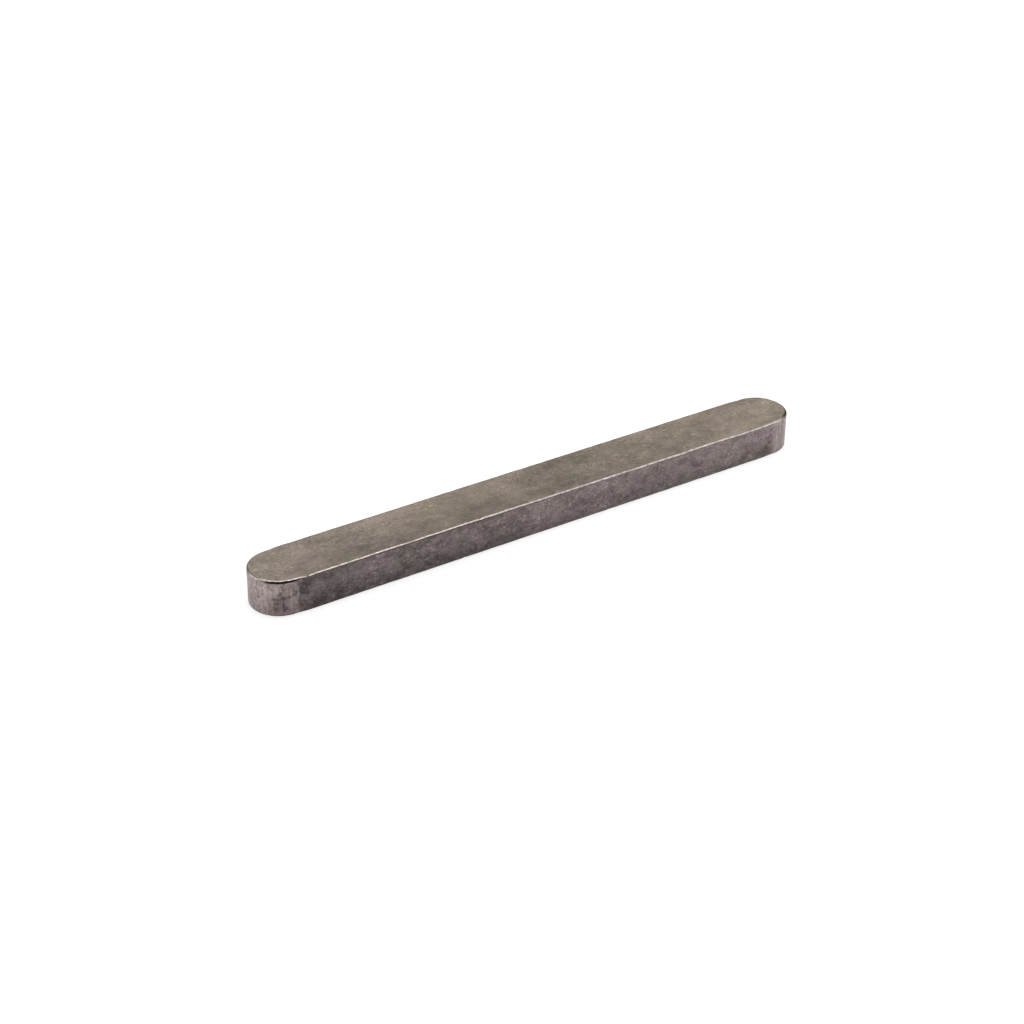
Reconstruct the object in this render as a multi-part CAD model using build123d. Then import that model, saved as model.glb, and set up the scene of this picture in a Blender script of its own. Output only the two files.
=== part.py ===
from build123d import *
import os

# A parallel key with two round ends: a cold-drawn bar of rectangular section, its ends milled
# round in plan, and every top and bottom edge broken. One solid piece of steel.
# The origin is the centre of the bottom face, +X runs along the key and +Z up, in millimetres.

# Driving dimensions
key_length = 180.0  # over both round ends
key_width = 18.0  # across the drawn flanks, the size that fits the keyway
key_height = 11.0  # from the bottom face to the top face
edge_break = 0.5  # 45 degree break round the top face and the bottom face
end_cut_depth = 0.3  # the milled ends lie this far inside the drawn flanks
end_cut_run = 1.2  # straight side of the end cut, behind the round nose
run_out = 2.5  # length of the ramp where the cutter leaves the flank

# Sizes that follow from them
half_length = key_length / 2
half_width = key_width / 2
nose_radius = half_width - end_cut_depth
nose_centre = half_length - nose_radius
cut_start = nose_centre - end_cut_run
flank_end = cut_start - run_out


def flank_line():
    """One side in plan, left to right: end cut, ramp, drawn flank, ramp, end cut."""
    return Polyline(
        (-nose_centre, nose_radius),
        (-cut_start, nose_radius),
        (-flank_end, half_width),
        (flank_end, half_width),
        (cut_start, nose_radius),
        (nose_centre, nose_radius),
    )


def nose_arc():
    """The milled half circle at the +X end, from flank to flank."""
    return ThreePointArc((nose_centre, nose_radius), (half_length, 0), (nose_centre, -nose_radius))


def key_plan():
    """The closed plan of the key, as a face on the bottom plane."""
    flank = flank_line()
    nose = nose_arc()
    return make_face(flank + nose + mirror(flank, about=Plane.XZ) + mirror(nose, about=Plane.YZ))


def parallel_key():
    """The plan raised to the full height, with the edges of its two flat faces broken."""
    blank = extrude(key_plan(), amount=key_height)
    flats = blank.faces().filter_by(Axis.Z)
    return chamfer(flats.edges(), length=edge_break)


key = parallel_key()
key.label = "parallel_key"
os.makedirs("parts", exist_ok=True)
export_step(key, "parts/parallel_key.step")
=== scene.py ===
import math

import bpy
from mathutils import Euler, Matrix, Vector


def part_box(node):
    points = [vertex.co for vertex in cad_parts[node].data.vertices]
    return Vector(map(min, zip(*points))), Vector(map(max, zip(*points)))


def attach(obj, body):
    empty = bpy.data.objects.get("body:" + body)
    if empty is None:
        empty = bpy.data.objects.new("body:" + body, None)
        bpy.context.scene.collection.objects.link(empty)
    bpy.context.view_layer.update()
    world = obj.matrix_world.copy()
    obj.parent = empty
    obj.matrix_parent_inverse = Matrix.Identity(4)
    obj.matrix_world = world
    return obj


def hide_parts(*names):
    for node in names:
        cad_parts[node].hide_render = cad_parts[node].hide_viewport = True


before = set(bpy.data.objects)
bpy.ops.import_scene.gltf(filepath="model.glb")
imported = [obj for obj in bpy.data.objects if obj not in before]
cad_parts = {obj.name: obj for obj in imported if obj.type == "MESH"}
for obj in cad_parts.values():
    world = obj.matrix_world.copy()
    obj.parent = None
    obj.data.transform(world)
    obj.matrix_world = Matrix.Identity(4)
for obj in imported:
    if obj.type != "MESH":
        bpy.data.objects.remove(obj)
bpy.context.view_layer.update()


# --- The bar ---
# One length of cold-drawn steel bar of rectangular section. Its ends are milled round with a
# cutter that goes a little below the drawn flanks and leaves a ramp where it comes out, and the
# edges of the top and the bottom face are broken, then knocked and rubbed in the drawer.

low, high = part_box("parallel_key")
bar_sizes = {
    "Length": round(high.x - low.x, 4),
    "Width": round(high.y - low.y, 4),
    "Height": round(high.z - low.z, 4),
    "Edge Break": 0.0005,
    "End Cut Depth": 0.0003,
    "End Cut Run": 0.0012,
    "Run-out": 0.0025,
    "Rubbed Depth": 0.00007,
    "Nick Depth": 0.0002,
}
wear_seed = 5
rail_points = 1520
nose_steps = 64
close_to_edge = 0.0012  # the mesh is finer this near to a broken edge
corner_inset = 0.3  # how far the worn corner bends in from a square one, as a share of the break
flat, broken, wall = range(3)  # the bands of the bar's skin: flat faces, broken edges and walls


def add(tree, kind, inputs=None, **settings):
    """Puts a node in a tree and fills its inputs, each with a value or another node's output."""
    node = tree.nodes.new(kind)
    for name, value in settings.items():
        setattr(node, name, value)
    for key, value in (inputs or {}).items():
        if isinstance(value, bpy.types.NodeSocket):
            tree.links.new(value, node.inputs[key])
        else:
            node.inputs[key].default_value = value
    return node


def calc(tree, operation, *values):
    """One sum with a Math node."""
    return add(tree, "ShaderNodeMath", dict(enumerate(values)), operation=operation).outputs[0]


def spread(tree, value, start, end, to_start=0.0, to_end=1.0, way="LINEAR"):
    """Carries a value from one range to another, held at both ends."""
    sizes = dict(enumerate((value, start, end, to_start, to_end)))
    return add(tree, "ShaderNodeMapRange", sizes, interpolation_type=way).outputs[0]


bar = bpy.data.node_groups.new("key_bar", "GeometryNodeTree")
bar.interface.new_socket("Geometry", in_out="OUTPUT", socket_type="NodeSocketGeometry")
bar_inputs = {}
for name in bar_sizes:
    bar_inputs[name] = bar.interface.new_socket(name, in_out="INPUT", socket_type="NodeSocketFloat")
bar_inputs["Seed"] = bar.interface.new_socket("Seed", in_out="INPUT", socket_type="NodeSocketInt")
given = add(bar, "NodeGroupInput").outputs
edge_break = given["Edge Break"]
height = given["Height"]
half_width = calc(bar, "MULTIPLY", given["Width"], 0.5)
half_length = calc(bar, "MULTIPLY", given["Length"], 0.5)
nose_radius = calc(bar, "SUBTRACT", half_width, given["End Cut Depth"])
nose_centre = calc(bar, "SUBTRACT", half_length, nose_radius)
cut_start = calc(bar, "SUBTRACT", nose_centre, given["End Cut Run"])
flank_end = calc(bar, "SUBTRACT", cut_start, given["Run-out"])

# The plan of the milled key is the rail: two straight sides and two half circles.
block = add(
    bar,
    "GeometryNodeCurvePrimitiveQuadrilateral",
    {"Width": given["Length"], "Height": calc(bar, "MULTIPLY", nose_radius, 2.0)},
)
rounded = add(
    bar,
    "GeometryNodeFilletCurve",
    {"Curve": block.outputs[0], "Radius": nose_radius, "Count": nose_steps, "Limit Radius": True},
    mode="POLY",
)
rail = add(bar, "GeometryNodeResampleCurve", {"Curve": rounded.outputs[0], "Count": rail_points})
rail = add(bar, "GeometryNodeSetCurveNormal", {"Curve": rail.outputs[0]}, mode="Z_UP")

# The section runs from the middle of the top face, down the side, to the middle of the bottom
# face. A section's own y points down, and its x out of the key.
minus_break = calc(bar, "MULTIPLY", edge_break, -1.0)
minus_radius = calc(bar, "MULTIPLY", nose_radius, -1.0)
minus_height = calc(bar, "MULTIPLY", height, -1.0)
rim_in = calc(bar, "SUBTRACT", minus_break, close_to_edge)
wall_top = calc(bar, "ADD", minus_height, edge_break)
wall_high = calc(bar, "ADD", wall_top, close_to_edge)
wall_low = calc(bar, "SUBTRACT", minus_break, close_to_edge)


def place(out, down):
    """A point of the section, out from the wall and down from the bottom face."""
    return add(bar, "ShaderNodeCombineXYZ", {"X": out, "Y": down}).outputs[0]


def straight(start, end, steps):
    """A straight stretch of the section."""
    line = add(bar, "GeometryNodeCurvePrimitiveLine", {"Start": start, "End": end}).outputs[0]
    return add(bar, "GeometryNodeResampleCurve", {"Curve": line, "Count": steps + 1}).outputs[0]


def worn_break(start, end, corner_down):
    """The broken edge, a little rounder than the 45 degree cut that it was."""
    middle = place(calc(bar, "MULTIPLY", minus_break, corner_inset), corner_down)
    sizes = {"Start": start, "Middle": middle, "End": end, "Resolution": 7}
    return add(bar, "GeometryNodeCurveQuadraticBezier", sizes).outputs[0]


top_rim = place(minus_break, minus_height)
bottom_rim = place(minus_break, 0.0)
upper_corner = calc(bar, "ADD", minus_height, calc(bar, "MULTIPLY", edge_break, corner_inset))
lower_corner = calc(bar, "MULTIPLY", edge_break, -corner_inset)
stretches = [
    (flat, straight(place(minus_radius, minus_height), place(rim_in, minus_height), 6)),
    (flat, straight(place(rim_in, minus_height), top_rim, 6)),
    (broken, worn_break(top_rim, place(0.0, wall_top), upper_corner)),
    (wall, straight(place(0.0, wall_top), place(0.0, wall_high), 5)),
    (wall, straight(place(0.0, wall_high), place(0.0, wall_low), 9)),
    (wall, straight(place(0.0, wall_low), place(0.0, minus_break), 5)),
    (broken, worn_break(place(0.0, minus_break), bottom_rim, lower_corner)),
    (flat, straight(bottom_rim, place(rim_in, 0.0), 5)),
    (flat, straight(place(rim_in, 0.0), place(minus_radius, 0.0), 4)),
]

# Each point of the section knows how far out and down it lies past the rim of its flat face: less
# than nothing on the flat, from 0 to twice the break over the broken edge, and more on the wall.
point = add(bar, "GeometryNodeInputPosition").outputs[0]
on_section = add(bar, "ShaderNodeSeparateXYZ", {0: point}).outputs
from_top = calc(bar, "ADD", on_section["Y"], height)
from_bottom = calc(bar, "MULTIPLY", on_section["Y"], -1.0)
outwards = calc(bar, "ADD", on_section["X"], edge_break)
past_rim = calc(bar, "ADD", outwards, calc(bar, "MINIMUM", from_top, from_bottom))

skin = add(bar, "GeometryNodeJoinGeometry")
for band, section in reversed(stretches):
    marked = add(
        bar,
        "GeometryNodeStoreNamedAttribute",
        {"Geometry": section, "Name": "past_rim", "Value": past_rim},
        data_type="FLOAT",
        domain="POINT",
    )
    swept = add(
        bar,
        "GeometryNodeCurveToMesh",
        {"Curve": rail.outputs[0], "Profile Curve": marked.outputs[0]},
    )
    banded = add(
        bar,
        "GeometryNodeStoreNamedAttribute",
        {"Geometry": swept.outputs[0], "Name": "band", "Value": band},
        data_type="INT",
        domain="FACE",
    )
    bar.links.new(banded.outputs[0], skin.inputs[0])
closed = add(
    bar,
    "GeometryNodeMergeByDistance",
    {"Geometry": skin.outputs[0], "Distance": 0.00003},
)

# Between the two end cuts the flanks stand out by the depth of the cut.
where = add(bar, "ShaderNodeSeparateXYZ", {0: point}).outputs
along = calc(bar, "ABSOLUTE", where["X"])
across = calc(bar, "ABSOLUTE", where["Y"])
proud = spread(bar, along, flank_end, cut_start, given["End Cut Depth"], 0.0)
share = spread(bar, across, 0.0, calc(bar, "SUBTRACT", nose_radius, edge_break))
side = calc(bar, "MULTIPLY", calc(bar, "SIGN", where["Y"]), calc(bar, "MULTIPLY", proud, share))
sided = add(bar, "ShaderNodeCombineXYZ", {"Y": side}).outputs[0]
drawn = add(bar, "GeometryNodeSetPosition", {"Geometry": closed.outputs[0], "Offset": sided})


def rough(scale, detail, seed_step):
    """Noise over the bar, from about 0 to 1."""
    sizes = {"Vector": point, "Scale": scale, "Detail": detail}
    sizes["W"] = calc(bar, "ADD", given["Seed"], seed_step)
    return add(bar, "ShaderNodeTexNoise", sizes, noise_dimensions="4D").outputs[0]


# Rubbing wears the broken edges down unevenly, and knocks leave a few nicks in them.
named = add(bar, "GeometryNodeInputNamedAttribute", {"Name": "past_rim"}, data_type="FLOAT")
off_edge = calc(bar, "ABSOLUTE", calc(bar, "SUBTRACT", named.outputs[0], edge_break))
at_edge = spread(bar, off_edge, 0.0006, 0.0013, 1.0, 0.0, "SMOOTHSTEP")
rubbing = spread(bar, rough(260.0, 3.0, 0.0), 0.35, 0.7)
knocks = spread(bar, rough(520.0, 1.0, 7.3), 0.66, 0.8)
rubbed = calc(bar, "MULTIPLY", rubbing, given["Rubbed Depth"])
nicked = calc(bar, "MULTIPLY", knocks, given["Nick Depth"])
taken = calc(bar, "MULTIPLY", calc(bar, "ADD", rubbed, nicked), at_edge)
facing = add(bar, "GeometryNodeInputNormal").outputs[0]
inwards = add(
    bar,
    "ShaderNodeVectorMath",
    {0: facing, "Scale": calc(bar, "MULTIPLY", taken, -1.0)},
    operation="SCALE",
)
worn = add(
    bar,
    "GeometryNodeSetPosition",
    {"Geometry": drawn.outputs[0], "Offset": inwards.outputs[0]},
)
smooth = add(
    bar,
    "GeometryNodeSetShadeSmooth",
    {"Geometry": worn.outputs[0], "Shade Smooth": True},
)
real = add(bar, "GeometryNodeRealizeInstances", {"Geometry": smooth.outputs[0]})


# --- The skin of the two flat faces ---
# Cold-drawn steel as it came from the die: a thin grey-brown film that is darker where hands and
# oil have been, over fine lines that run the way the bar was drawn. The rims are rubbed bare and
# carry a painted highlight, and a painted black shade line runs along the rims of the two noses.


def srgb(red, green, blue):
    """A colour as a paint chart gives it, from 0 to 255, as the light that it sends back."""
    parts = [c / 255 for c in (red, green, blue)]
    return [c / 12.92 if c <= 0.04045 else ((c + 0.055) / 1.055) ** 2.4 for c in parts] + [1.0]


def start_effect(name, needs, gives):
    """A node group that several finishes share: its tree, what it is given, and its end."""
    tree = bpy.data.node_groups.new(name, "ShaderNodeTree")
    kinds = {list: "NodeSocketColor", tuple: "NodeSocketVector", float: "NodeSocketFloat"}
    for label, start in needs.items():
        kind = kinds[type(start)]
        socket = tree.interface.new_socket(label, in_out="INPUT", socket_type=kind)
        socket.default_value = start
    for label, kind in gives.items():
        tree.interface.new_socket(label, in_out="OUTPUT", socket_type=kinds[kind])
    return tree, add(tree, "NodeGroupInput").outputs, add(tree, "NodeGroupOutput").inputs


def mixed(tree, share, first, second, blend="MIX"):
    """Two colours, mixed by a share from 0 to 1."""
    colours = {0: share, 6: first, 7: second}
    return add(tree, "ShaderNodeMix", colours, data_type="RGBA", blend_type=blend).outputs[2]


def scaled(tree, *values):
    """Several values multiplied together."""
    result = values[0]
    for value in values[1:]:
        result = calc(tree, "MULTIPLY", result, value)
    return result


def tone(tree, *masks_and_swings):
    """A factor near 1, to which each mask from 0 to 1 adds its own swing, half up, half down."""
    result = 1.0
    for mask, swing in masks_and_swings:
        result = calc(tree, "MULTIPLY_ADD", calc(tree, "SUBTRACT", mask, 0.5), swing, result)
    return result


finishes = {}


def start_finish(name):
    """A new finish of steel: its tree, its shader and the place on the key."""
    material = bpy.data.materials.new(name)
    material.use_nodes = True
    tree = material.node_tree
    shader = tree.nodes["Principled BSDF"]
    shader.inputs["Metallic"].default_value = 0.85
    spot = add(tree, "ShaderNodeTexCoord").outputs["Object"]
    finishes[name] = material
    return tree, shader, spot


def relief(tree, shader, depth, *masks_and_shares):
    """Fine relief on a finish, from masks that each take a share of the depth."""
    height = 0.0
    for mask, part in masks_and_shares:
        height = calc(tree, "MULTIPLY_ADD", mask, part, height)
    bump = add(tree, "ShaderNodeBump", {"Height": height, "Strength": 1.0, "Distance": depth})
    tree.links.new(bump.outputs[0], shader.inputs["Normal"])


nowhere = (0.0, 0.0, 0.0)

# Mottling is noise of one size, longer along the key, that is cut to a mask from 0 to 1. The
# higher its fineness, the stronger its small spots are beside its large ones.
mottle, told, out = start_effect(
    "mottle",
    {
        "Spot": nowhere,
        "Size": 0.005,
        "Stretch": 1.0,
        "Fineness": 0.5,
        "Start": 0.3,
        "End": 0.7,
        "Seed": 0.0,
    },
    {"Mask": float},
)
longer = calc(mottle, "MULTIPLY", told["Size"], told["Stretch"])
grid = add(mottle, "ShaderNodeCombineXYZ", {"X": longer, "Y": told["Size"], "Z": told["Size"]})
cell = add(
    mottle,
    "ShaderNodeVectorMath",
    {0: told["Spot"], 1: grid.outputs[0]},
    operation="DIVIDE",
)
clouds = add(
    mottle,
    "ShaderNodeTexNoise",
    {
        "Vector": cell.outputs[0],
        "W": told["Seed"],
        "Scale": 1.0,
        "Detail": 6.0,
        "Roughness": told["Fineness"],
    },
    noise_dimensions="4D",
)
mask = spread(mottle, clouds.outputs[0], told["Start"], told["End"], way="SMOOTHSTEP")
mottle.links.new(mask, out["Mask"])


def mottled(tree, spot, size, seed, stretch=1.0, fineness=0.5, start=0.3, end=0.7):
    """Mottling on a finish, with its own size and seed."""
    values = {"Spot": spot, "Size": size, "Stretch": stretch, "Fineness": fineness}
    values.update({"Start": start, "End": end, "Seed": seed})
    return add(tree, "ShaderNodeGroup", values, node_tree=mottle).outputs["Mask"]


# The drawn skin: clouds as wide as the key, with patches, flecks and fine grain in the film, and
# the drawing lines. Its tint wanders between a rosy one and an olive one. The swings say how
# strongly the flecks and the fine spots show, and the fine spots come and go in places.
drawn_skin, told, out = start_effect(
    "drawn_skin",
    {
        "Spot": nowhere,
        "Rosy": srgb(135, 121, 112),
        "Olive": srgb(132, 122, 107),
        "Fleck Swing": 0.3,
        "Fine Swing": 1.0,
        "Cloud Seed": 0.0,
        "Patch Seed": 0.0,
    },
    {"Color": list, "Grain": float, "Lines": float},
)
spot = told["Spot"]
cloud_seed = told["Cloud Seed"]
patch_seed = told["Patch Seed"]
clouds = mottled(drawn_skin, spot, 0.045, cloud_seed, 1.6, fineness=0.4)
patches = mottled(drawn_skin, spot, 0.012, patch_seed, 1.5, fineness=0.7, start=0.36, end=0.64)
flecks = mottled(drawn_skin, spot, 0.0024, patch_seed, 1.5, fineness=0.9, start=0.42, end=0.58)
tints = mottled(drawn_skin, spot, 0.006, cloud_seed, 1.3, fineness=0.8, start=0.4, end=0.6)
grain = mottled(drawn_skin, spot, 0.00055, patch_seed, 1.6, fineness=0.95, start=0.42, end=0.58)
light_specks = mottled(drawn_skin, spot, 0.0007, cloud_seed, 1.5, start=0.55, end=0.68)
dark_specks = mottled(drawn_skin, spot, 0.0009, patch_seed, 1.5, start=0.57, end=0.7)
lines = mottled(drawn_skin, spot, 0.00018, patch_seed, stretch=40.0)
specks = ((light_specks, 0.42), (dark_specks, -0.34))
fine = tone(drawn_skin, (grain, 0.4), *specks, (lines, 0.08))
busy = mottled(drawn_skin, spot, 0.009, cloud_seed, 1.6, fineness=0.7, start=0.38, end=0.62)
busy = spread(drawn_skin, busy, 0.0, 1.0, 0.6, 1.4)
how_fine = scaled(drawn_skin, told["Fine Swing"], busy)
fine = calc(drawn_skin, "MULTIPLY_ADD", calc(drawn_skin, "SUBTRACT", fine, 1.0), how_fine, 1.0)
coarse = tone(drawn_skin, (clouds, 0.5), (patches, 0.44), (flecks, told["Fleck Swing"]))
tint = mixed(drawn_skin, tints, told["Olive"], told["Rosy"])
shade = calc(drawn_skin, "MULTIPLY", coarse, fine)
drawn_skin.links.new(mixed(drawn_skin, 1.0, tint, shade, "MULTIPLY"), out["Color"])
drawn_skin.links.new(grain, out["Grain"])
drawn_skin.links.new(lines, out["Lines"])

# A band of uneven width along a rim, for the rubbed rim with its painted highlight and for the
# painted shade line. Its middle and its reach are told as ways past the rim.
rim_band, told, out = start_effect(
    "rim_band",
    {"Spot": nowhere, "Past Rim": 0.0, "Middle": 0.0, "Reach": 0.0004, "Seed": 0.0},
    {"Mask": float},
)
wander = mottled(rim_band, told["Spot"], 0.012, told["Seed"])
flicker = mottled(rim_band, told["Spot"], 0.0011, told["Seed"], stretch=1.5, fineness=0.8)
wander = calc(rim_band, "SUBTRACT", wander, 0.5)
middle = calc(rim_band, "MULTIPLY_ADD", wander, 0.0002, told["Middle"])
reach = scaled(rim_band, told["Reach"], spread(rim_band, flicker, 0.0, 1.0, 0.78, 1.18))
off_middle = calc(rim_band, "ABSOLUTE", calc(rim_band, "SUBTRACT", told["Past Rim"], middle))
inner = scaled(rim_band, reach, 0.5)
outer = scaled(rim_band, reach, 1.3)
mask = spread(rim_band, off_middle, inner, outer, 1.0, 0.0, "SMOOTHSTEP")
rim_band.links.new(mask, out["Mask"])


def band_along_rim(tree, spot, past, middle, reach, seed):
    """A band along the rims, with its own middle and reach."""
    values = {"Spot": spot, "Past Rim": past, "Middle": middle, "Reach": reach, "Seed": seed}
    return add(tree, "ShaderNodeGroup", values, node_tree=rim_band).outputs["Mask"]


# Where the rims are rubbed bare, with a painted highlight in the same band. The band sits high on
# the break at the left and lower at the right and at the back. It climbs to the rim round the left
# nose, and runs down the break at its tip and on the ramp of the cutter, where a gap parts it.
rubbed_rim_and_highlight, told, out = start_effect(
    "rubbed_rim_and_highlight",
    {"Spot": nowhere, "Past Rim": 0.0},
    {"Mask": float},
)
spot = told["Spot"]
where = add(rubbed_rim_and_highlight, "ShaderNodeSeparateXYZ", {0: spot}).outputs
along_bar = spread(rubbed_rim_and_highlight, where["X"], -0.025, 0.03, 0.0002, 0.00046)
on_nose = spread(rubbed_rim_and_highlight, where["X"], -0.083, -0.0808, -0.00026, 0.0)
at_tip = spread(rubbed_rim_and_highlight, where["X"], -0.0895, -0.0878, 0.0007, 0.0)
off_ramp = calc(rubbed_rim_and_highlight, "ABSOLUTE", calc(rubbed_rim_and_highlight, "ADD", where["X"], 0.0773))
on_ramp = spread(rubbed_rim_and_highlight, off_ramp, 0.0004, 0.0024, 0.00018, 0.0)
at_back = spread(rubbed_rim_and_highlight, where["Y"], 0.0, 0.006, -0.001, 0.0006)
middle = calc(rubbed_rim_and_highlight, "ADD", along_bar, on_nose)
middle = calc(rubbed_rim_and_highlight, "ADD", middle, calc(rubbed_rim_and_highlight, "ADD", at_tip, on_ramp))
middle = calc(rubbed_rim_and_highlight, "MAXIMUM", middle, at_back)
reach = spread(rubbed_rim_and_highlight, where["X"], -0.05, 0.03, 0.00028, 0.00041)
wider_at_right = spread(rubbed_rim_and_highlight, where["X"], 0.078, 0.0815, 0.0, 0.00015)
wider_at_tip = spread(rubbed_rim_and_highlight, where["X"], -0.0872, -0.0855, 0.00014, 0.0)
reach = calc(rubbed_rim_and_highlight, "ADD", calc(rubbed_rim_and_highlight, "ADD", reach, wider_at_right), wider_at_tip)
band = band_along_rim(rubbed_rim_and_highlight, spot, told["Past Rim"], middle, reach, 1.0)

# The highlight fades to painted shade at the right tip, on the back of the left nose and on the
# underside, and the left half of the rim is a little duller.
gap_at_ramp = spread(rubbed_rim_and_highlight, off_ramp, 0.0001, 0.0006, 0.15, 1.0)
upper_edge = spread(rubbed_rim_and_highlight, where["Z"], 0.004, 0.007, 0.25, 1.0)
right_tip = spread(rubbed_rim_and_highlight, where["X"], 0.0835, 0.0865, 1.0, 0.1)
back = spread(rubbed_rim_and_highlight, where["Y"], 0.0, 0.002)
left_back = scaled(rubbed_rim_and_highlight, back, spread(rubbed_rim_and_highlight, where["X"], -0.0795, -0.082))
left_back = spread(rubbed_rim_and_highlight, left_back, 0.0, 1.0, 1.0, 0.15)
left_nose = spread(rubbed_rim_and_highlight, where["X"], -0.0815, -0.079, 1.0, 0.88)
right_half = spread(rubbed_rim_and_highlight, where["X"], -0.01, 0.02, 0.88, 1.0)
duller = calc(rubbed_rim_and_highlight, "MAXIMUM", left_nose, right_half)
bare_and_highlit = scaled(rubbed_rim_and_highlight, band, gap_at_ramp, upper_edge, right_tip, left_back, duller)
rubbed_rim_and_highlight.links.new(bare_and_highlit, out["Mask"])

# A black band of painted shade: below the rim on the front of the left nose, and thinner on the
# rim of the right nose.
painted_shade_line, told, out = start_effect(
    "painted_shade_line",
    {"Spot": nowhere, "Past Rim": 0.0},
    {"Mask": float},
)
spot = told["Spot"]
past = told["Past Rim"]
where = add(painted_shade_line, "ShaderNodeSeparateXYZ", {0: spot}).outputs
lower = spread(painted_shade_line, where["X"], -0.083, -0.0805, 0.00062, 0.0009)
from_tip = spread(painted_shade_line, where["X"], -0.0872, -0.0858, 0.0005, 0.0006)
to_flank = spread(painted_shade_line, where["X"], -0.084, -0.083, 0.0006, 0.00048)
widest = calc(painted_shade_line, "MINIMUM", from_tip, to_flank)
left = band_along_rim(painted_shade_line, spot, past, lower, widest, 3.0)
off_tip = spread(painted_shade_line, where["X"], -0.0889, -0.0872, 0.0, 1.0, "SMOOTHSTEP")
off_flank = spread(painted_shade_line, where["X"], -0.0818, -0.0786, 1.0, 0.0, "SMOOTHSTEP")
front = spread(painted_shade_line, where["Y"], -0.002, 0.0, 1.0, 0.0)
left = scaled(painted_shade_line, left, off_tip, off_flank, front)
outer = spread(painted_shade_line, where["X"], 0.0865, 0.0885, 0.0001, 0.0003)
right = band_along_rim(painted_shade_line, spot, past, outer, 0.00045, 5.0)
right = scaled(painted_shade_line, right, spread(painted_shade_line, where["X"], 0.0836, 0.0856, 0.0, 0.85))
upper_edge = spread(painted_shade_line, where["Z"], 0.004, 0.007)
shadow_mask = scaled(painted_shade_line, calc(painted_shade_line, "MAXIMUM", left, right), upper_edge)
painted_shade_line.links.new(shadow_mask, out["Mask"])


def on_rims(tree, effect, spot):
    """Where an effect along the rims shows on a finish, as a mask."""
    past = add(tree, "ShaderNodeAttribute", attribute_name="past_rim").outputs["Fac"]
    values = {"Spot": spot, "Past Rim": past}
    return add(tree, "ShaderNodeGroup", values, node_tree=effect).outputs["Mask"]


# One stain: it thins out from a place on the key, and is ragged all over.
stain, told, out = start_effect(
    "stain",
    {"Spot": nowhere, "Centre": nowhere, "Across": (0.001, 0.001, 0.001), "Seed": 0.0},
    {"Mask": float},
)
off = add(
    stain,
    "ShaderNodeVectorMath",
    {0: told["Spot"], 1: told["Centre"]},
    operation="SUBTRACT",
)
off = add(
    stain,
    "ShaderNodeVectorMath",
    {0: off.outputs[0], 1: told["Across"]},
    operation="DIVIDE",
)
away = add(stain, "ShaderNodeVectorMath", {0: off.outputs[0]}, operation="LENGTH").outputs["Value"]
ragged = mottled(stain, told["Spot"], 0.001, told["Seed"], fineness=0.9, start=0.38, end=0.62)
thick = calc(stain, "SUBTRACT", calc(stain, "MULTIPLY", ragged, 1.5), away)
stain.links.new(spread(stain, thick, -0.4, 0.6, way="SMOOTHSTEP"), out["Mask"])


def stained(tree, spot, colour, stains):
    """A colour with stains over it, each with its centre, its size, its strength and its colour."""
    for number, (centre, across, strength, stain_colour) in enumerate(stains):
        values = {"Spot": spot, "Centre": centre, "Across": across, "Seed": 60.0 + number}
        mask = add(tree, "ShaderNodeGroup", values, node_tree=stain).outputs["Mask"]
        colour = mixed(tree, scaled(tree, mask, strength), colour, stain_colour)
    return colour


def on_top(*stains):
    """Stains of the top face, from the place along and across the key, the length and the width,
    the strength and the colour of each. None of them goes down as far as the bottom face."""
    return [
        ((x, y, high.z), (length, width, 0.004), strength, colour)
        for x, y, length, width, strength, colour in stains
    ]


# Bare metal of the rubbed rims, bright with a painted highlight.
bare_metal_and_highlight = srgb(196, 187, 180)
# The black of the painted shade line along the rims of the noses.
painted_shade_black = srgb(27, 20, 18)
thin_film = srgb(166, 156, 145)
thick_film = srgb(106, 97, 87)
rusty_film = srgb(148, 122, 114)
top_marks = on_top(
    (-0.0515, 0.0062, 0.0032, 0.0012, 0.4, thin_film),
    (-0.0575, -0.0025, 0.0013, 0.0006, 0.5, thin_film),
    (-0.0400, 0.0012, 0.0013, 0.0006, 0.5, thin_film),
    (0.0290, 0.0005, 0.0015, 0.0007, 0.5, thin_film),
    (0.0560, -0.0018, 0.0013, 0.0006, 0.5, thin_film),
    (0.0750, 0.0000, 0.0030, 0.0020, 0.5, thick_film),
    (0.0785, -0.0069, 0.0030, 0.0012, 0.6, thick_film),
    (0.0450, -0.0052, 0.0042, 0.0012, 0.4, thick_film),
    (0.0340, 0.0048, 0.0015, 0.0009, 0.4, thick_film),
    (-0.0430, 0.0038, 0.0015, 0.0009, 0.4, thick_film),
    (-0.0790, -0.0054, 0.0026, 0.0012, 0.5, thick_film),
    (-0.0812, -0.0042, 0.0020, 0.0017, 0.5, thick_film),
    (-0.0845, -0.0020, 0.0026, 0.0021, 0.55, thick_film),
    (-0.0838, 0.0044, 0.0026, 0.0016, 0.4, thick_film),
    (-0.0462, -0.0055, 0.0026, 0.0010, 0.35, thick_film),
    (0.0170, -0.0012, 0.0050, 0.0016, 0.25, thin_film),
    (0.0250, 0.0030, 0.0055, 0.0014, 0.25, thin_film),
    (0.0210, -0.0072, 0.0110, 0.0010, 0.22, thin_film),
    (0.0060, 0.0018, 0.0040, 0.0016, 0.25, thin_film),
    (-0.0640, 0.0070, 0.0060, 0.0010, 0.25, thin_film),
    (0.0708, 0.0010, 0.0028, 0.0012, 0.4, thick_film),
    (0.0380, -0.0050, 0.0034, 0.0012, 0.35, thick_film),
    (0.0637, 0.0045, 0.0036, 0.0014, 0.4, rusty_film),
    (-0.0372, 0.0018, 0.0030, 0.0012, 0.35, rusty_film),
    (-0.0285, 0.0015, 0.0020, 0.0010, 0.35, rusty_film),
)
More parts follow.
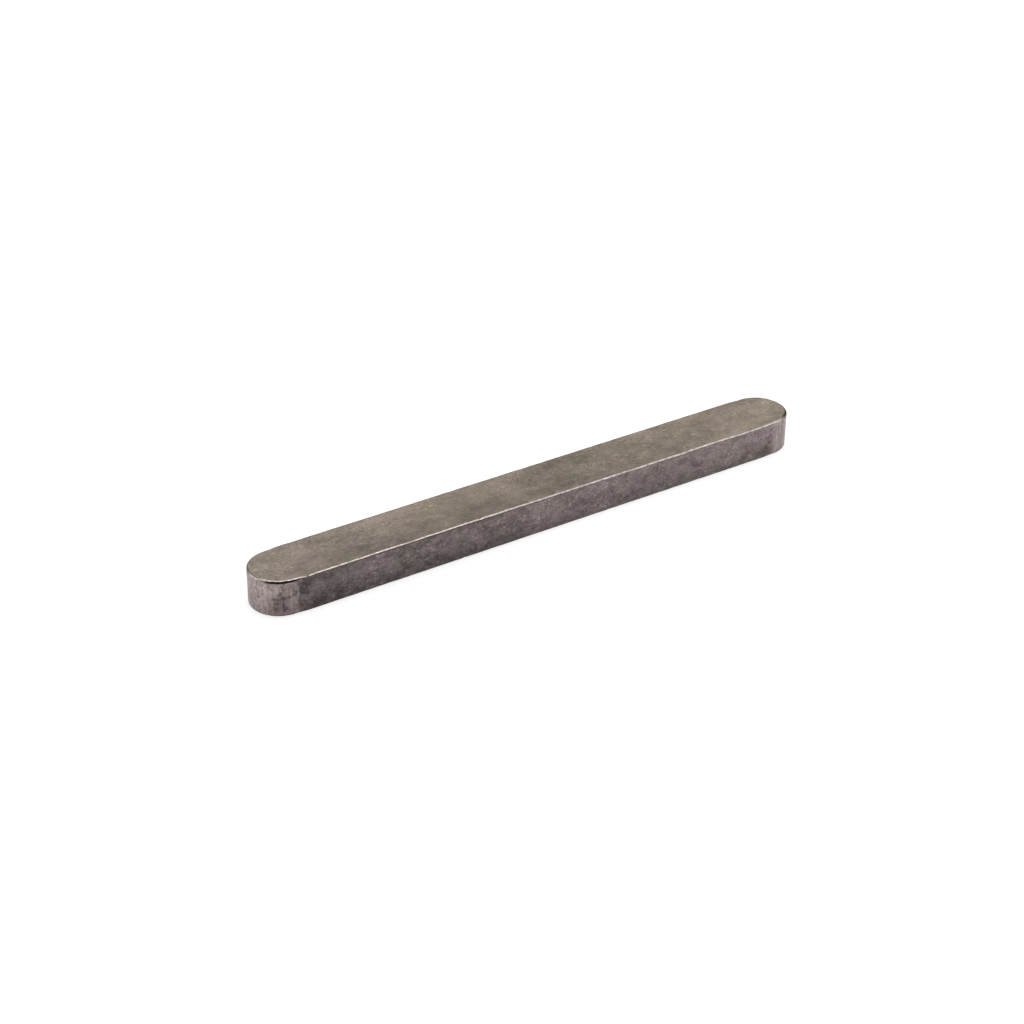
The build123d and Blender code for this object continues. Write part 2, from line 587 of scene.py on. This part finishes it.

# The seeds lay the clouds and the patches as they lie on this key. The film is greyer at the left
# end and yellower from there on, and the top is lighter over the right nose, more so at the
# back.
tree, shader, spot = start_finish("flat_skin")
where = add(tree, "ShaderNodeSeparateXYZ", {0: spot}).outputs
values = {
    "Spot": spot,
    "Rosy": srgb(135, 121, 112),
    "Olive": srgb(132, 122, 107),
    "Fleck Swing": 0.26,
    "Fine Swing": spread(tree, where["X"], -0.08, 0.08, 0.92, 1.04),
    "Cloud Seed": 986.0,
    "Patch Seed": 2994.0,
}
film = add(tree, "ShaderNodeGroup", values, node_tree=drawn_skin).outputs
greyer = (0.99, 1.0, 1.025, 1.0)
yellower = (0.996, 1.0, 0.975, 1.0)
aged = mixed(tree, spread(tree, where["X"], -0.085, -0.02), greyer, yellower)
colour = mixed(tree, 1.0, film["Color"], aged, "MULTIPLY")
lighter_over_right_nose = spread(tree, where["X"], 0.0765, 0.0855, 0.0, 0.36)
lighter_over_right_nose = scaled(tree, lighter_over_right_nose, spread(tree, where["Y"], -0.007, -0.001, 0.4, 1.0))
colour = mixed(tree, 1.0, colour, calc(tree, "ADD", lighter_over_right_nose, 1.0), "MULTIPLY")
colour = stained(tree, spot, colour, top_marks)
# The rubbed rims with their painted highlight, then the painted black shade line along the noses.
colour = mixed(tree, on_rims(tree, rubbed_rim_and_highlight, spot), colour, bare_metal_and_highlight)
colour = mixed(tree, on_rims(tree, painted_shade_line, spot), colour, painted_shade_black)
tree.links.new(colour, shader.inputs["Base Color"])
tree.links.new(spread(tree, film["Grain"], 0.0, 1.0, 0.4, 0.5), shader.inputs["Roughness"])
relief(tree, shader, 0.00003, (film["Grain"], 0.8), (film["Lines"], 0.2))


# --- The skin of the flanks ---
# The same drawn skin, painted darker and more purple than on the top as the shade of the upright
# walls, and darkest low down as painted shade. It is flaky, with light and dark specks. Oil has
# dried on it near both ends.

dried_oil = srgb(72, 62, 61)
brown_oil = srgb(78, 62, 58)
rust = srgb(120, 90, 92)
wiped = srgb(124, 113, 114)
wiped_clean = srgb(140, 129, 129)
rubbed_line = srgb(180, 170, 166)
round_radius = bar_sizes["Width"] / 2 - bar_sizes["End Cut Depth"]
round_start = bar_sizes["Length"] / 2 - round_radius


def on_front(*stains):
    """Stains of the front wall, from the place along the key and the height, the length and the
    height of the stain itself, its strength and its colour. None of them reaches the back wall."""
    placed = []
    for x, z, length, tall, strength, colour in stains:
        round_nose = max(abs(x) - round_start, 0.0)
        y = -math.sqrt(round_radius**2 - round_nose**2)
        placed.append(((x, y, z), (length, 0.006, tall), strength, colour))
    return placed


# Dried oil and wiped places at both ends of the front wall. They run on from the flank over the
# milled end, so the two finishes share them.
end_marks = on_front(
    # the left end of the flank: above, below the middle and along the foot, with wiped places
    (-0.0782, 0.0086, 0.0019, 0.0022, 0.85, dried_oil),
    (-0.0786, 0.0062, 0.0014, 0.0008, 0.75, dried_oil),
    (-0.0798, 0.0026, 0.0019, 0.0010, 0.7, brown_oil),
    (-0.0758, 0.0020, 0.0042, 0.0018, 0.5, dried_oil),
    (-0.0750, 0.0099, 0.0024, 0.0007, 0.5, dried_oil),
    (-0.0803, 0.0040, 0.0006, 0.0012, 0.6, dried_oil),
    (-0.0795, 0.0045, 0.0012, 0.0012, 0.5, wiped),
    (-0.0768, 0.0050, 0.0013, 0.0010, 0.6, wiped),
    (-0.0747, 0.0068, 0.0022, 0.0024, 0.65, wiped),
    # the right end: dabs one above the other, rust at the foot, and a rubbed line below the rim
    (0.0792, 0.0055, 0.0012, 0.0044, 0.25, dried_oil),
    (0.0794, 0.0089, 0.0014, 0.0006, 0.55, dried_oil),
    (0.0793, 0.0065, 0.0009, 0.0006, 0.75, dried_oil),
    (0.0792, 0.0049, 0.0009, 0.0005, 0.8, dried_oil),
    (0.0779, 0.0029, 0.0012, 0.0011, 0.8, brown_oil),
    (0.0755, 0.0022, 0.0045, 0.0022, 0.45, dried_oil),
    (0.0795, 0.0021, 0.0010, 0.0009, 0.9, rust),
    (0.0810, 0.0100, 0.0024, 0.0004, 0.5, rubbed_line),
)
end_stains, told, out = start_effect(
    "end_stains",
    {"Spot": nowhere, "Color": srgb(115, 106, 102)},
    {"Color": list},
)
end_stains.links.new(stained(end_stains, told["Spot"], told["Color"], end_marks), out["Color"])


def with_end_stains(tree, spot, colour):
    """A colour with the stains of the two ends over it."""
    values = {"Spot": spot, "Color": colour}
    return add(tree, "ShaderNodeGroup", values, node_tree=end_stains).outputs["Color"]


flank_marks = on_front(
    (-0.0670, 0.0076, 0.0085, 0.0032, 0.45, wiped),
    (-0.0515, 0.0058, 0.0036, 0.0018, 0.6, wiped),
    (-0.0185, 0.0048, 0.0036, 0.0016, 0.35, wiped),
    (-0.0618, 0.0074, 0.0028, 0.0016, 0.5, wiped),
    (-0.0041, 0.0072, 0.0026, 0.0016, 0.45, wiped_clean),
    (-0.0510, 0.0091, 0.0026, 0.0008, 0.45, dried_oil),
    (0.0010, 0.0056, 0.0026, 0.0017, 0.3, dried_oil),
    (-0.0086, 0.0012, 0.0030, 0.0009, 0.4, dried_oil),
    (-0.0220, 0.0078, 0.0012, 0.0009, 0.6, dried_oil),
    (-0.0396, 0.0020, 0.0010, 0.0009, 0.7, dried_oil),
    (0.0688, 0.0012, 0.0020, 0.0009, 0.5, dried_oil),
    (0.0628, 0.0011, 0.0016, 0.0008, 0.45, dried_oil),
)

tree, shader, spot = start_finish("flank_skin")
where = add(tree, "ShaderNodeSeparateXYZ", {0: spot}).outputs
values = {
    "Spot": spot,
    "Rosy": srgb(118, 105, 107),
    "Olive": srgb(115, 106, 102),
    "Fleck Swing": 0.54,
    "Fine Swing": spread(tree, where["X"], -0.08, 0.08, 1.75, 1.02),
    "Cloud Seed": 910.0,
    "Patch Seed": 1267.0,
}
film = add(tree, "ShaderNodeGroup", values, node_tree=drawn_skin).outputs
ragged = scaled(tree, mottled(tree, spot, 0.006, 31.0, stretch=1.5), 0.003)
# Painted shade: the flank darkens towards its foot, most at the left end.
shade_at_foot = spread(tree, where["X"], -0.08, 0.08, 0.62, 0.8)
light_at_top = spread(tree, where["X"], -0.08, 0.08, 1.18, 1.1)
above_foot = calc(tree, "ADD", where["Z"], ragged)
painted_shade_to_foot = spread(tree, above_foot, 0.0015, 0.0095, shade_at_foot, light_at_top)
colour = mixed(tree, 1.0, film["Color"], painted_shade_to_foot, "MULTIPLY")
from_middle = calc(tree, "ABSOLUTE", where["X"])
at_ramp = spread(tree, from_middle, 0.0782, 0.0801, 1.0, 1.16)
colour = mixed(tree, 1.0, colour, at_ramp, "MULTIPLY")
colour = stained(tree, spot, colour, flank_marks)
colour = with_end_stains(tree, spot, colour)
tree.links.new(colour, shader.inputs["Base Color"])
tree.links.new(spread(tree, film["Grain"], 0.0, 1.0, 0.44, 0.56), shader.inputs["Roughness"])
relief(tree, shader, 0.00004, (film["Grain"], 0.8), (film["Lines"], 0.2))


# --- The milled ends ---
# Cut after drawing, so brighter than the flanks, with upright marks of the cutter and a witness
# line where it began to turn. Oil has stained the left end again almost up to its tip, and the
# clean tip is lighter as painted light from the left.

rubbed_clean = srgb(146, 135, 134)
nose_stains = on_front(
    # a broad smear with runs and dabs of dried oil in it
    (-0.0856, 0.0034, 0.0024, 0.0032, 0.34, dried_oil),
    (-0.0825, 0.0046, 0.0015, 0.0017, 0.55, rubbed_clean),
    (-0.0880, 0.0052, 0.0009, 0.0020, 0.4, rubbed_clean),
    (-0.0876, 0.0094, 0.0024, 0.0012, 0.34, dried_oil),
    (-0.0826, 0.0087, 0.0013, 0.0011, 0.4, dried_oil),
    (-0.0876, 0.0018, 0.0018, 0.0012, 0.4, dried_oil),
    (-0.0862, 0.0055, 0.0015, 0.0005, 0.85, dried_oil),
    (-0.0849, 0.0056, 0.0012, 0.0005, 0.9, dried_oil),
    (-0.0834, 0.0061, 0.0013, 0.0005, 0.85, dried_oil),
    (-0.0852, 0.0070, 0.0005, 0.0017, 0.65, dried_oil),
    (-0.0845, 0.0038, 0.0005, 0.0020, 0.8, dried_oil),
    (-0.0842, 0.0026, 0.0008, 0.0011, 0.85, dried_oil),
    (-0.0865, 0.0026, 0.0007, 0.0013, 0.85, dried_oil),
    (-0.0863, 0.0044, 0.0009, 0.0007, 0.75, dried_oil),
    (-0.0846, 0.0088, 0.0014, 0.0012, 0.45, dried_oil),
    (-0.0813, 0.0070, 0.0009, 0.0009, 0.9, dried_oil),
)

tree, shader, spot = start_finish("milled_end")
where = add(tree, "ShaderNodeSeparateXYZ", {0: spot}).outputs
from_middle = calc(tree, "ABSOLUTE", where["X"])
upright_grid = add(
    tree,
    "ShaderNodeVectorMath",
    {0: spot, 1: (1.0, 1.0, 0.05)},
    operation="MULTIPLY",
)
marks = mottled(tree, upright_grid.outputs[0], 0.0007, 41.0, fineness=0.7)
dull = mottled(tree, spot, 0.004, 43.0, fineness=0.7)
grain = mottled(tree, spot, 0.0009, 44.0, fineness=0.8, start=0.35, end=0.65)
upright = spread(tree, where["X"], -0.08, 0.08, 0.72, 0.8)
speckled = spread(tree, where["X"], -0.08, 0.08, 0.72, 0.4)
depths = tone(tree, (marks, upright), (dull, 0.16), (grain, speckled))
colour = mixed(tree, 1.0, srgb(169, 154, 153), depths, "MULTIPLY")

# Painted light and shade: the left end darkens towards its flank, both darken towards the foot and
# the cutter's ramp, and the right end is lit brighter, most of all at its tip.
to_flank = spread(tree, where["X"], -0.0885, -0.0835, 0.95, 0.66)
right_end = spread(tree, where["X"], 0.0, 0.001, 1.0, 1.27)
foot = spread(tree, where["Z"], 0.0008, 0.009, 0.8, 1.04)
right_tip = spread(tree, where["X"], 0.0832, 0.0856, 1.0, 1.08)
at_ramp = spread(tree, from_middle, 0.0801, 0.0817, 0.84, 1.0)
painted_light_and_shade = scaled(tree, to_flank, right_end, foot, right_tip, at_ramp)
colour = mixed(tree, 1.0, colour, painted_light_and_shade, "MULTIPLY")
# The oil mottle stops short of the left tip, which stays lighter as painted light from the left.
oiled = mottled(tree, spot, 0.005, 156.0, fineness=0.75, start=0.38, end=0.6)
off_tip = spread(tree, where["X"], -0.0893, -0.0878, 0.12, 1.0, "SMOOTHSTEP")
left_end = scaled(tree, off_tip, spread(tree, where["X"], -0.07, 0.07, 1.0, 0.12))
colour = mixed(tree, scaled(tree, oiled, left_end, 0.3), colour, srgb(96, 86, 85))
off_line = calc(tree, "ABSOLUTE", calc(tree, "ADD", where["X"], 0.08035))
off_height = calc(tree, "ABSOLUTE", calc(tree, "SUBTRACT", where["Z"], 0.0068))
line_ends = spread(tree, off_height, 0.001, 0.002, 0.5, 0.04)
witness = scaled(tree, spread(tree, off_line, 0.00006, 0.00018, 1.0, 0.0), line_ends)
colour = mixed(tree, witness, colour, srgb(190, 180, 180))
colour = stained(tree, spot, colour, nose_stains)
colour = with_end_stains(tree, spot, colour)
colour = mixed(tree, on_rims(tree, painted_shade_line, spot), colour, painted_shade_black)
tree.links.new(colour, shader.inputs["Base Color"])
tree.links.new(spread(tree, oiled, 0.0, 1.0, 0.4, 0.52), shader.inputs["Roughness"])
relief(tree, shader, 0.00003, (marks, 0.6), (grain, 0.4))


# --- The broken edges ---
# Bare and bright along the rims, where hands and boxes rub them and a painted highlight runs, and
# painted dark as shade in the lower part of the break, black below the rim of the left nose.

tree, shader, spot = start_finish("edge_wear_and_painted_light")
grain = mottled(tree, spot, 0.0009, 51.0, stretch=1.5, fineness=0.7)
# The dark ground of the break is painted shade.
colour = mixed(tree, grain, srgb(80, 70, 67), srgb(112, 102, 98))
bare_and_highlit = on_rims(tree, rubbed_rim_and_highlight, spot)
# Painted glints come and go along the rubbed rim.
painted_glints = mottled(tree, spot, 0.0008, 53.0, stretch=1.3, start=0.35, end=0.65)
bare_and_highlight_colour = mixed(tree, painted_glints, srgb(172, 163, 156), srgb(220, 212, 205))
colour = mixed(tree, bare_and_highlit, colour, bare_and_highlight_colour)
colour = mixed(tree, on_rims(tree, painted_shade_line, spot), colour, painted_shade_black)
tree.links.new(colour, shader.inputs["Base Color"])
tree.links.new(spread(tree, bare_and_highlit, 0.0, 1.0, 0.5, 0.36), shader.inputs["Roughness"])
shader.inputs["Specular Tint"].default_value = (0.5, 0.48, 0.46, 1.0)
relief(tree, shader, 0.00003, (grain, 0.6), (bare_and_highlit, -0.4))


# --- The finished key ---
# The bar with its four finishes: the milled ends are the walls beyond the start of the end cut,
# and the flanks are the walls between them. It is turned into one plain mesh, the only piece.


def band_is(number):
    """Picks the faces of one band of the bar."""
    marked = add(bar, "GeometryNodeInputNamedAttribute", {"Name": "band"}, data_type="INT")
    pair = {2: marked.outputs[0], 3: number}
    return add(bar, "FunctionNodeCompare", pair, data_type="INT", operation="EQUAL").outputs[0]


on_end = add(bar, "FunctionNodeCompare", {0: along, 1: cut_start}, operation="GREATER_THAN")
end_wall = add(
    bar,
    "FunctionNodeBooleanMath",
    {0: band_is(wall), 1: on_end.outputs[0]},
    operation="AND",
)
dressed = real.outputs[0]
for chosen, name in (
    (True, "flank_skin"),
    (band_is(flat), "flat_skin"),
    (end_wall.outputs[0], "milled_end"),
    (band_is(broken), "edge_wear_and_painted_light"),
):
    dressed = add(
        bar,
        "GeometryNodeSetMaterial",
        {"Geometry": dressed, "Selection": chosen, "Material": finishes[name]},
    ).outputs[0]
add(bar, "NodeGroupOutput", {0: dressed})

maker = bpy.data.objects.new("bar_maker", bpy.data.meshes.new("bar_maker"))
bpy.context.scene.collection.objects.link(maker)
modifier = maker.modifiers.new("key_bar", "NODES")
modifier.node_group = bar
for name, size in bar_sizes.items():
    modifier[bar_inputs[name].identifier] = size
modifier[bar_inputs["Seed"].identifier] = wear_seed
made = maker.evaluated_get(bpy.context.evaluated_depsgraph_get())
key_mesh = bpy.data.meshes.new_from_object(made)
# The mesh comes with an empty slot in front, which no face uses.
if key_mesh.materials[0] is None:
    key_mesh.materials.pop(index=0)
bpy.data.objects.remove(maker)
key = bpy.data.objects.new("key_body", key_mesh)
bpy.context.scene.collection.objects.link(key)
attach(key, "root")
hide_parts("parallel_key")


# --- Floor, light and camera ---
# A plain white table top under soft studio light, with the key lying across it. The table top
# lies a hair below the key, so that it doesn't show through the key's bottom face.

table_half = 1.5
just_below = low.z - 0.00002
corners = [(-1, -1), (1, -1), (1, 1), (-1, 1)]
floor_mesh = bpy.data.meshes.new("table_top")
floor_mesh.from_pydata(
    [(x * table_half, y * table_half, just_below) for x, y in corners],
    [],
    [(0, 1, 2, 3)],
)
floor = bpy.data.objects.new("table_top", floor_mesh)
bpy.context.scene.collection.objects.link(floor)


def seen_directly(tree):
    """1 for what the camera, a polished surface or clear glass sees, 0 for what lights the key."""
    path = add(tree, "ShaderNodeLightPath").outputs
    through = calc(tree, "MAXIMUM", path["Is Glossy Ray"], path["Is Transmission Ray"])
    return calc(tree, "MAXIMUM", path["Is Camera Ray"], through)


table_top = bpy.data.materials.new("white_table")
table_top.use_nodes = True
tree = table_top.node_tree
shader = tree.nodes["Principled BSDF"]
shader.inputs["Base Color"].default_value = (0.6, 0.6, 0.6, 1.0)
shader.inputs["Roughness"].default_value = 0.9
shader.inputs["Specular IOR Level"].default_value = 0.0
shader.inputs["Emission Color"].default_value = (1.0, 1.0, 1.0, 1.0)
glow = calc(tree, "MULTIPLY", seen_directly(tree), 0.7)
tree.links.new(glow, shader.inputs["Emission Strength"])
floor_mesh.materials.append(table_top)

studio = bpy.data.worlds.new("studio")
bpy.context.scene.world = studio
studio.use_nodes = True
tree = studio.node_tree
backdrop = tree.nodes["Background"]
backdrop.inputs["Color"].default_value = (1.0, 1.0, 1.0, 1.0)
tree.links.new(spread(tree, seen_directly(tree), 0.0, 1.0, 0.5, 1.0), backdrop.inputs["Strength"])

softbox = bpy.data.lights.new("overhead", "AREA")
softbox.size = 0.6
softbox.energy = 2.5
softbox_place = Vector((0.15, 0.1, 0.9))
overhead = bpy.data.objects.new("overhead", softbox)
turn = softbox_place.to_track_quat("Z", "Y")
overhead.matrix_world = Matrix.Translation(softbox_place) @ turn.to_matrix().to_4x4()
bpy.context.scene.collection.objects.link(overhead)

lens = bpy.data.cameras.new("camera")
lens.lens = 80.2
lens.sensor_width = 36.0
camera = bpy.data.objects.new("camera", lens)
azimuth, elevation, roll = (math.radians(a) for a in (-33.6, 30.86, 0.64))
aim = Vector((-0.0069, 0.0, 0.0036))
distance = 0.6471
upright_turn = Euler((math.pi / 2 - elevation, 0.0, azimuth)).to_matrix()
turn = upright_turn @ Matrix.Rotation(roll, 3, "Z")
seen_from = aim + turn @ Vector((0.0, 0.0, distance))
camera.matrix_world = Matrix.Translation(seen_from) @ turn.to_4x4()
bpy.context.scene.collection.objects.link(camera)
bpy.context.scene.camera = camera
bpy.context.scene.view_settings.view_transform = "Standard"
